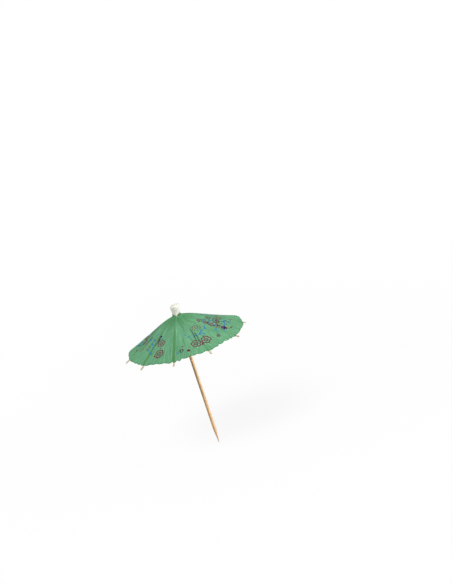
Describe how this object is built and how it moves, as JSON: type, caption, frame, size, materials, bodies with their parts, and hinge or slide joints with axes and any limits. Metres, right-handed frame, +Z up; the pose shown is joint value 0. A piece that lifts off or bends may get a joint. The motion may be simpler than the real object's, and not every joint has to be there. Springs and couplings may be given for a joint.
{
  "type": "cocktail umbrella pick",
  "caption": "Pleated paper parasol on a pointed bamboo pick; ribs, stretchers and a sliding runner open and fold its canopy.",
  "frame": {"origin": "on the pick's axis, where the straight shank meets the sharpened point", "axes": "+Z up the pick towards the cap, +X along one rib's azimuth"},
  "size_m": [0.083, 0.0798, 0.1],
  "materials": {
    "pick_wood": "sanded bamboo",
    "rib_wood": "split bamboo",
    "hub_wood": "turned wood",
    "canopy_paper": "matt printed paper",
    "cap_paper": "rolled white paper",
    "rolled_paper": "rolled plain newsprint",
    "thread": "twisted cotton",
    "ring_plastic": "moulded"
  },
  "bodies": {
    "pick": {"pick": "pick_wood", "cap": "cap_paper", "canopy_crown": "canopy_paper", "crown_hub": "hub_wood", "crown_thread": "thread", "spacer_sleeve": "rolled_paper"},
    "rib_01": {"rib_01": "rib_wood", "tie_01": "thread"},
    "stretcher_01": {"stretcher_01": "rib_wood"},
    "gore_01_left": {"gore_01_left": "canopy_paper"},
    "gore_01_right": {"gore_01_right": "canopy_paper"},
    "rib_02": {"rib_02": "rib_wood", "tie_02": "thread"},
    "stretcher_02": {"stretcher_02": "rib_wood"},
    "gore_02_left": {"gore_02_left": "canopy_paper"},
    "gore_02_right": {"gore_02_right": "canopy_paper"},
    "rib_03": {"rib_03": "rib_wood", "tie_03": "thread"},
    "stretcher_03": {"stretcher_03": "rib_wood"},
    "gore_03_left": {"gore_03_left": "canopy_paper"},
    "gore_03_right": {"gore_03_right": "canopy_paper"},
    "rib_04": {"rib_04": "rib_wood", "tie_04": "thread"},
    "stretcher_04": {"stretcher_04": "rib_wood"},
    "gore_04_left": {"gore_04_left": "canopy_paper"},
    "gore_04_right": {"gore_04_right": "canopy_paper"},
    "rib_05": {"rib_05": "rib_wood", "tie_05": "thread"},
    "stretcher_05": {"stretcher_05": "rib_wood"},
    "gore_05_left": {"gore_05_left": "canopy_paper"},
    "gore_05_right": {"gore_05_right": "canopy_paper"},
    "rib_06": {"rib_06": "rib_wood", "tie_06": "thread"},
    "stretcher_06": {"stretcher_06": "rib_wood"},
    "gore_06_left": {"gore_06_left": "canopy_paper"},
    "gore_06_right": {"gore_06_right": "canopy_paper"},
    "rib_07": {"rib_07": "rib_wood", "tie_07": "thread"},
    "stretcher_07": {"stretcher_07": "rib_wood"},
    "gore_07_left": {"gore_07_left": "canopy_paper"},
    "gore_07_right": {"gore_07_right": "canopy_paper"},
    "rib_08": {"rib_08": "rib_wood", "tie_08": "thread"},
    "stretcher_08": {"stretcher_08": "rib_wood"},
    "gore_08_left": {"gore_08_left": "canopy_paper"},
    "gore_08_right": {"gore_08_right": "canopy_paper"},
    "rib_09": {"rib_09": "rib_wood", "tie_09": "thread"},
    "stretcher_09": {"stretcher_09": "rib_wood"},
    "gore_09_left": {"gore_09_left": "canopy_paper"},
    "gore_09_right": {"gore_09_right": "canopy_paper"},
    "rib_10": {"rib_10": "rib_wood", "tie_10": "thread"},
    "stretcher_10": {"stretcher_10": "rib_wood"},
    "gore_10_left": {"gore_10_left": "canopy_paper"},
    "gore_10_right": {"gore_10_right": "canopy_paper"},
    "runner": {"runner": "hub_wood", "runner_thread": "thread"},
    "retaining_ring": {"retaining_ring": "ring_plastic"}
  },
  "joints": [
    {"name": "canopy_fold", "type": "hinge", "parent": "pick", "child": "rib_01", "pos_m": [0.0026, 0, 0.0809], "axis": [0, 1, 0], "range_deg": [0, 58]},
    {"name": "stretcher_01_swing", "type": "hinge", "parent": "rib_01", "child": "stretcher_01", "pos_m": [0.01947, 0, 0.07213], "axis": [0, 1, 0], "range_deg": [-116, 0]},
    {"name": "gore_01_left_crease", "type": "hinge", "parent": "rib_01", "child": "gore_01_left", "pos_m": [0.00279, 0.00016, 0.08132], "axis": [0.9063, 0, -0.4226], "range_deg": [0, 59.74]},
    {"name": "gore_01_right_crease", "type": "hinge", "parent": "rib_01", "child": "gore_01_right", "pos_m": [0.00279, -0.00016, 0.08132], "axis": [-0.9063, 0, 0.4226], "range_deg": [0, 59.74]},
    {"name": "rib_02_fold", "type": "hinge", "parent": "pick", "child": "rib_02", "pos_m": [0.0021, 0.00153, 0.0809], "axis": [-0.5878, 0.809, 0], "range_deg": [0, 58]},
    {"name": "stretcher_02_swing", "type": "hinge", "parent": "rib_02", "child": "stretcher_02", "pos_m": [0.01575, 0.01145, 0.07213], "axis": [-0.5878, 0.809, 0], "range_deg": [-116, 0]},
    {"name": "gore_02_left_crease", "type": "hinge", "parent": "rib_02", "child": "gore_02_left", "pos_m": [0.00217, 0.00177, 0.08132], "axis": [0.7332, 0.5327, -0.4226], "range_deg": [0, 59.74]},
    {"name": "gore_02_right_crease", "type": "hinge", "parent": "rib_02", "child": "gore_02_right", "pos_m": [0.00235, 0.00151, 0.08132], "axis": [-0.7332, -0.5327, 0.4226], "range_deg": [0, 59.74]},
    {"name": "rib_03_fold", "type": "hinge", "parent": "pick", "child": "rib_03", "pos_m": [0.0008, 0.00247, 0.0809], "axis": [-0.9511, 0.309, 0], "range_deg": [0, 58]},
    {"name": "stretcher_03_swing", "type": "hinge", "parent": "rib_03", "child": "stretcher_03", "pos_m": [0.00602, 0.01852, 0.07213], "axis": [-0.9511, 0.309, 0], "range_deg": [-116, 0]},
    {"name": "gore_03_left_crease", "type": "hinge", "parent": "rib_03", "child": "gore_03_left", "pos_m": [0.00071, 0.00271, 0.08132], "axis": [0.2801, 0.8619, -0.4226], "range_deg": [0, 59.74]},
    {"name": "gore_03_right_crease", "type": "hinge", "parent": "rib_03", "child": "gore_03_right", "pos_m": [0.00102, 0.00261, 0.08132], "axis": [-0.2801, -0.8619, 0.4226], "range_deg": [0, 59.74]},
    {"name": "rib_04_fold", "type": "hinge", "parent": "pick", "child": "rib_04", "pos_m": [-0.0008, 0.00247, 0.0809], "axis": [-0.9511, -0.309, 0], "range_deg": [0, 58]},
    {"name": "stretcher_04_swing", "type": "hinge", "parent": "rib_04", "child": "stretcher_04", "pos_m": [-0.00602, 0.01852, 0.07213], "axis": [-0.9511, -0.309, 0], "range_deg": [-116, 0]},
    {"name": "gore_04_left_crease", "type": "hinge", "parent": "rib_04", "child": "gore_04_left", "pos_m": [-0.00102, 0.00261, 0.08132], "axis": [-0.2801, 0.8619, -0.4226], "range_deg": [0, 59.74]},
    {"name": "gore_04_right_crease", "type": "hinge", "parent": "rib_04", "child": "gore_04_right", "pos_m": [-0.00071, 0.00271, 0.08132], "axis": [0.2801, -0.8619, 0.4226], "range_deg": [0, 59.74]},
    {"name": "rib_05_fold", "type": "hinge", "parent": "pick", "child": "rib_05", "pos_m": [-0.0021, 0.00153, 0.0809], "axis": [-0.5878, -0.809, 0], "range_deg": [0, 58]},
    {"name": "stretcher_05_swing", "type": "hinge", "parent": "rib_05", "child": "stretcher_05", "pos_m": [-0.01575, 0.01145, 0.07213], "axis": [-0.5878, -0.809, 0], "range_deg": [-116, 0]},
    {"name": "gore_05_left_crease", "type": "hinge", "parent": "rib_05", "child": "gore_05_left", "pos_m": [-0.00235, 0.00151, 0.08132], "axis": [-0.7332, 0.5327, -0.4226], "range_deg": [0, 59.74]},
    {"name": "gore_05_right_crease", "type": "hinge", "parent": "rib_05", "child": "gore_05_right", "pos_m": [-0.00217, 0.00177, 0.08132], "axis": [0.7332, -0.5327, 0.4226], "range_deg": [0, 59.74]},
    {"name": "rib_06_fold", "type": "hinge", "parent": "pick", "child": "rib_06", "pos_m": [-0.0026, 0, 0.0809], "axis": [0, -1, 0], "range_deg": [0, 58]},
    {"name": "stretcher_06_swing", "type": "hinge", "parent": "rib_06", "child": "stretcher_06", "pos_m": [-0.01947, 0, 0.07213], "axis": [0, -1, 0], "range_deg": [-116, 0]},
    {"name": "gore_06_left_crease", "type": "hinge", "parent": "rib_06", "child": "gore_06_left", "pos_m": [-0.00279, -0.00016, 0.08132], "axis": [-0.9063, 0, -0.4226], "range_deg": [0, 59.74]},
    {"name": "gore_06_right_crease", "type": "hinge", "parent": "rib_06", "child": "gore_06_right", "pos_m": [-0.00279, 0.00016, 0.08132], "axis": [0.9063, 0, 0.4226], "range_deg": [0, 59.74]},
    {"name": "rib_07_fold", "type": "hinge", "parent": "pick", "child": "rib_07", "pos_m": [-0.0021, -0.00153, 0.0809], "axis": [0.5878, -0.809, 0], "range_deg": [0, 58]},
    {"name": "stretcher_07_swing", "type": "hinge", "parent": "rib_07", "child": "stretcher_07", "pos_m": [-0.01575, -0.01145, 0.07213], "axis": [0.5878, -0.809, 0], "range_deg": [-116, 0]},
    {"name": "gore_07_left_crease", "type": "hinge", "parent": "rib_07", "child": "gore_07_left", "pos_m": [-0.00217, -0.00177, 0.08132], "axis": [-0.7332, -0.5327, -0.4226], "range_deg": [0, 59.74]},
    {"name": "gore_07_right_crease", "type": "hinge", "parent": "rib_07", "child": "gore_07_right", "pos_m": [-0.00235, -0.00151, 0.08132], "axis": [0.7332, 0.5327, 0.4226], "range_deg": [0, 59.74]},
    {"name": "rib_08_fold", "type": "hinge", "parent": "pick", "child": "rib_08", "pos_m": [-0.0008, -0.00247, 0.0809], "axis": [0.9511, -0.309, 0], "range_deg": [0, 58]},
    {"name": "stretcher_08_swing", "type": "hinge", "parent": "rib_08", "child": "stretcher_08", "pos_m": [-0.00602, -0.01852, 0.07213], "axis": [0.9511, -0.309, 0], "range_deg": [-116, 0]},
    {"name": "gore_08_left_crease", "type": "hinge", "parent": "rib_08", "child": "gore_08_left", "pos_m": [-0.00071, -0.00271, 0.08132], "axis": [-0.2801, -0.8619, -0.4226], "range_deg": [0, 59.74]},
    {"name": "gore_08_right_crease", "type": "hinge", "parent": "rib_08", "child": "gore_08_right", "pos_m": [-0.00102, -0.00261, 0.08132], "axis": [0.2801, 0.8619, 0.4226], "range_deg": [0, 59.74]},
    {"name": "rib_09_fold", "type": "hinge", "parent": "pick", "child": "rib_09", "pos_m": [0.0008, -0.00247, 0.0809], "axis": [0.9511, 0.309, 0], "range_deg": [0, 58]},
    {"name": "stretcher_09_swing", "type": "hinge", "parent": "rib_09", "child": "stretcher_09", "pos_m": [0.00602, -0.01852, 0.07213], "axis": [0.9511, 0.309, 0], "range_deg": [-116, 0]},
    {"name": "gore_09_left_crease", "type": "hinge", "parent": "rib_09", "child": "gore_09_left", "pos_m": [0.00102, -0.00261, 0.08132], "axis": [0.2801, -0.8619, -0.4226], "range_deg": [0, 59.74]},
    {"name": "gore_09_right_crease", "type": "hinge", "parent": "rib_09", "child": "gore_09_right", "pos_m": [0.00071, -0.00271, 0.08132], "axis": [-0.2801, 0.8619, 0.4226], "range_deg": [0, 59.74]},
    {"name": "rib_10_fold", "type": "hinge", "parent": "pick", "child": "rib_10", "pos_m": [0.0021, -0.00153, 0.0809], "axis": [0.5878, 0.809, 0], "range_deg": [0, 58]},
    {"name": "stretcher_10_swing", "type": "hinge", "parent": "rib_10", "child": "stretcher_10", "pos_m": [0.01575, -0.01145, 0.07213], "axis": [0.5878, 0.809, 0], "range_deg": [-116, 0]},
    {"name": "gore_10_left_crease", "type": "hinge", "parent": "rib_10", "child": "gore_10_left", "pos_m": [0.00235, -0.00151, 0.08132], "axis": [0.7332, -0.5327, -0.4226], "range_deg": [0, 59.74]},
    {"name": "gore_10_right_crease", "type": "hinge", "parent": "rib_10", "child": "gore_10_right", "pos_m": [0.00217, -0.00177, 0.08132], "axis": [-0.7332, 0.5327, 0.4226], "range_deg": [0, 59.74]},
    {"name": "runner_guide", "type": "hinge", "parent": "stretcher_01", "child": "runner", "pos_m": [0.0026, 0, 0.06335], "axis": [0, 1, 0], "range_deg": [0, 58]},
    {"name": "ring_slide", "type": "slide", "parent": "runner", "child": "retaining_ring", "axis": [0, 0, -1], "range_m": [0, 0.03]}
  ],
  "couplings": [
    {"joint": "stretcher_01_swing", "follows": "canopy_fold", "ratio": -2},
    {"joint": "gore_01_left_crease", "follows": "canopy_fold", "ratio": 1.03},
    {"joint": "gore_01_right_crease", "follows": "canopy_fold", "ratio": 1.03},
    {"joint": "rib_02_fold", "follows": "canopy_fold", "ratio": 1},
    {"joint": "stretcher_02_swing", "follows": "canopy_fold", "ratio": -2},
    {"joint": "gore_02_left_crease", "follows": "canopy_fold", "ratio": 1.03},
    {"joint": "gore_02_right_crease", "follows": "canopy_fold", "ratio": 1.03},
    {"joint": "rib_03_fold", "follows": "canopy_fold", "ratio": 1},
    {"joint": "stretcher_03_swing", "follows": "canopy_fold", "ratio": -2},
    {"joint": "gore_03_left_crease", "follows": "canopy_fold", "ratio": 1.03},
    {"joint": "gore_03_right_crease", "follows": "canopy_fold", "ratio": 1.03},
    {"joint": "rib_04_fold", "follows": "canopy_fold", "ratio": 1},
    {"joint": "stretcher_04_swing", "follows": "canopy_fold", "ratio": -2},
    {"joint": "gore_04_left_crease", "follows": "canopy_fold", "ratio": 1.03},
    {"joint": "gore_04_right_crease", "follows": "canopy_fold", "ratio": 1.03},
    {"joint": "rib_05_fold", "follows": "canopy_fold", "ratio": 1},
    {"joint": "stretcher_05_swing", "follows": "canopy_fold", "ratio": -2},
    {"joint": "gore_05_left_crease", "follows": "canopy_fold", "ratio": 1.03},
    {"joint": "gore_05_right_crease", "follows": "canopy_fold", "ratio": 1.03},
    {"joint": "rib_06_fold", "follows": "canopy_fold", "ratio": 1},
    {"joint": "stretcher_06_swing", "follows": "canopy_fold", "ratio": -2},
    {"joint": "gore_06_left_crease", "follows": "canopy_fold", "ratio": 1.03},
    {"joint": "gore_06_right_crease", "follows": "canopy_fold", "ratio": 1.03},
    {"joint": "rib_07_fold", "follows": "canopy_fold", "ratio": 1},
    {"joint": "stretcher_07_swing", "follows": "canopy_fold", "ratio": -2},
    {"joint": "gore_07_left_crease", "follows": "canopy_fold", "ratio": 1.03},
    {"joint": "gore_07_right_crease", "follows": "canopy_fold", "ratio": 1.03},
    {"joint": "rib_08_fold", "follows": "canopy_fold", "ratio": 1},
    {"joint": "stretcher_08_swing", "follows": "canopy_fold", "ratio": -2},
    {"joint": "gore_08_left_crease", "follows": "canopy_fold", "ratio": 1.03},
    {"joint": "gore_08_right_crease", "follows": "canopy_fold", "ratio": 1.03},
    {"joint": "rib_09_fold", "follows": "canopy_fold", "ratio": 1},
    {"joint": "stretcher_09_swing", "follows": "canopy_fold", "ratio": -2},
    {"joint": "gore_09_left_crease", "follows": "canopy_fold", "ratio": 1.03},
    {"joint": "gore_09_right_crease", "follows": "canopy_fold", "ratio": 1.03},
    {"joint": "rib_10_fold", "follows": "canopy_fold", "ratio": 1},
    {"joint": "stretcher_10_swing", "follows": "canopy_fold", "ratio": -2},
    {"joint": "gore_10_left_crease", "follows": "canopy_fold", "ratio": 1.03},
    {"joint": "gore_10_right_crease", "follows": "canopy_fold", "ratio": 1.03},
    {"joint": "runner_guide", "follows": "canopy_fold", "ratio": 1}
  ]
}
